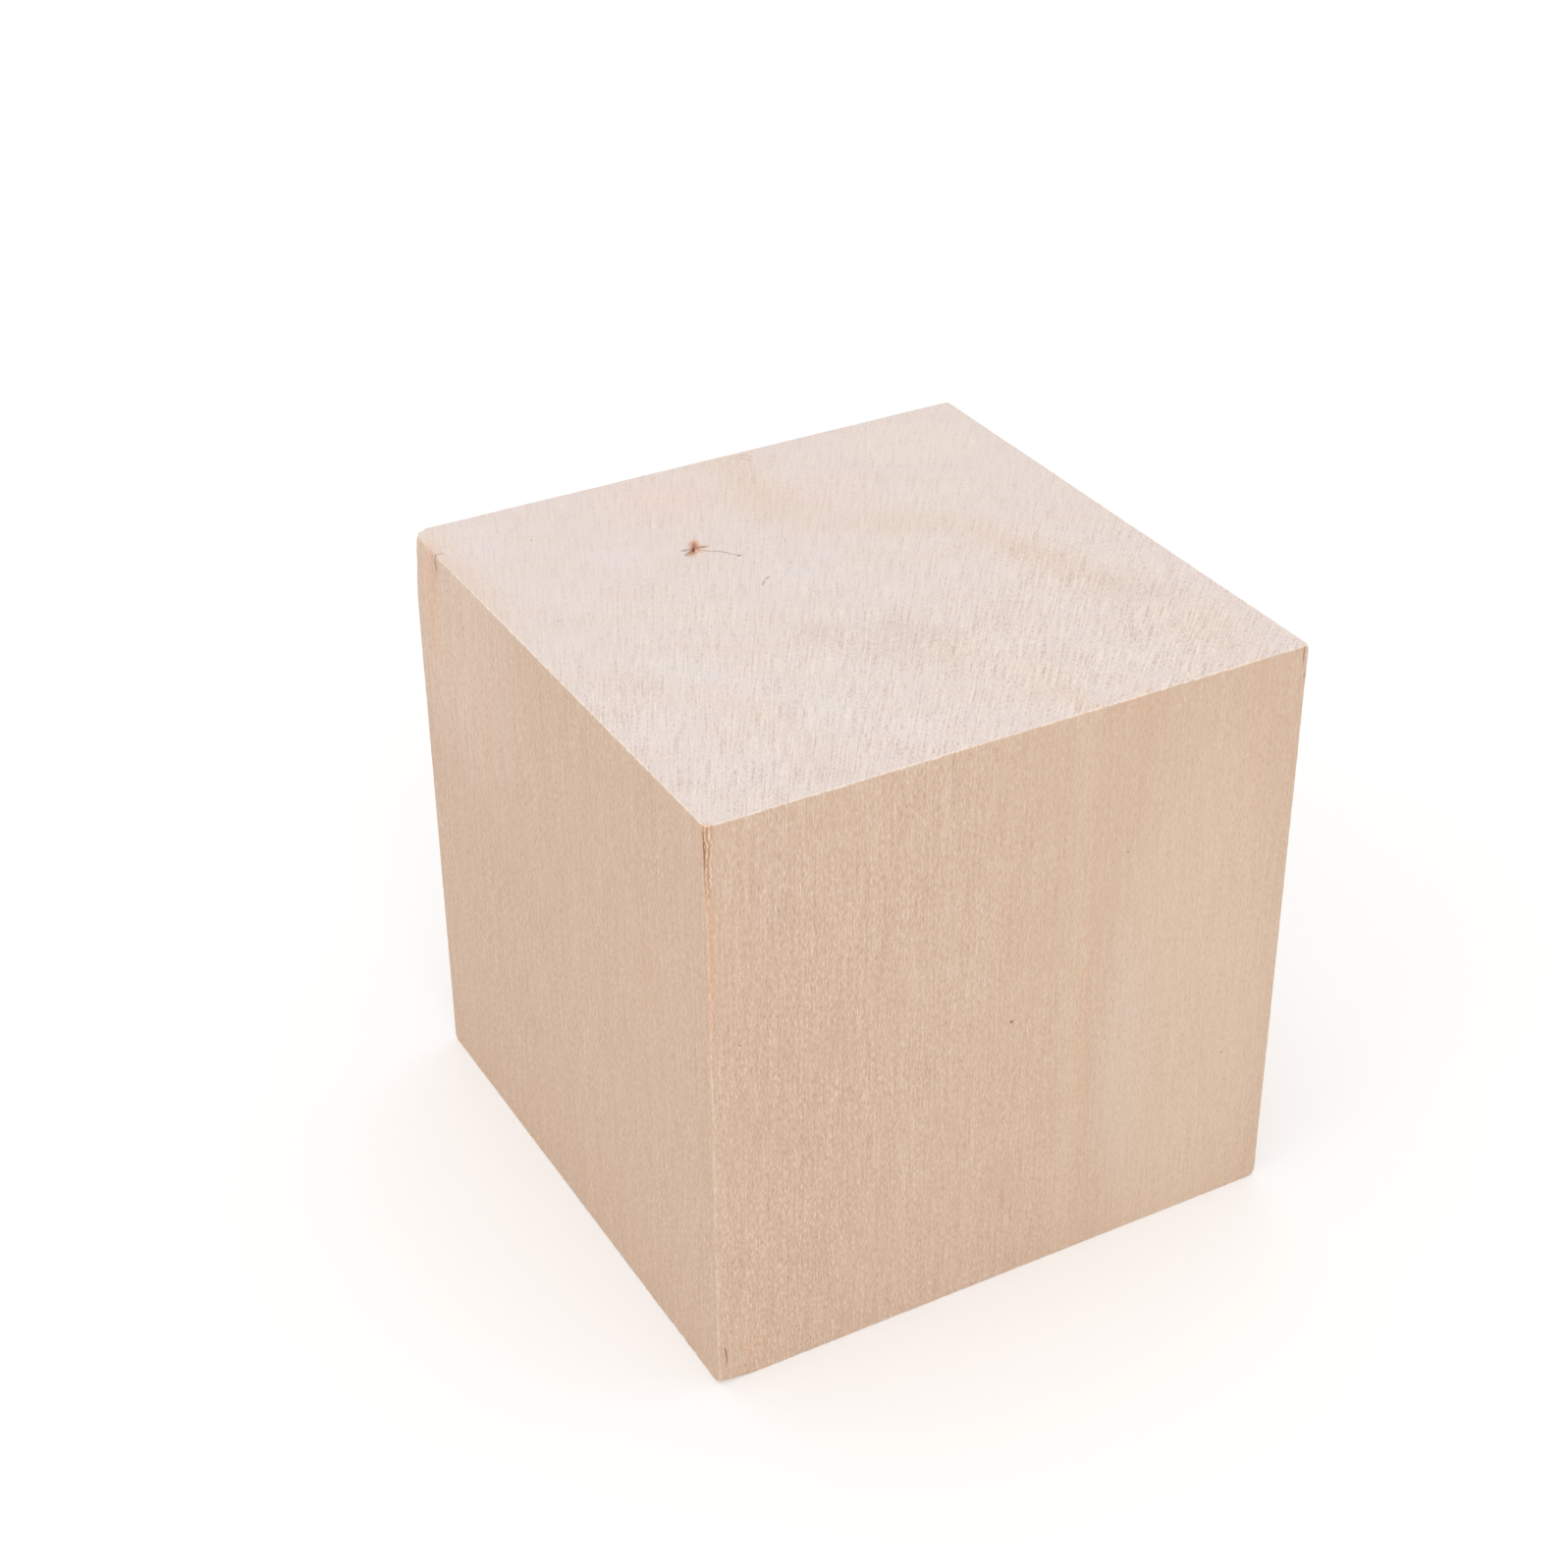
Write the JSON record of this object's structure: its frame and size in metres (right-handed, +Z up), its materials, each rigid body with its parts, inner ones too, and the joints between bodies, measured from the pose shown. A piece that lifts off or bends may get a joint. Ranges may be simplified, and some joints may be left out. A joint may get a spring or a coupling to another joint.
{
  "type": "wooden cube",
  "caption": "Plain sawn cube of pale, close-grained wood, with crisp arrises, a pin knot in the end grain and slightly worn corners.",
  "frame": {"origin": "middle of the bottom end-grain face, the face the cube stands on", "axes": "+Z up along the grain; -Y out of the front side and -X out of the left side, the two sides that meet at the torn front arris"},
  "size_m": [0.1, 0.1, 0.1],
  "materials": {
    "bare_wood": "bare sawn and lightly sanded, matt, unsealed"
  },
  "bodies": {
    "root": {"wooden_cube": "bare_wood"}
  },
  "joints": []
}
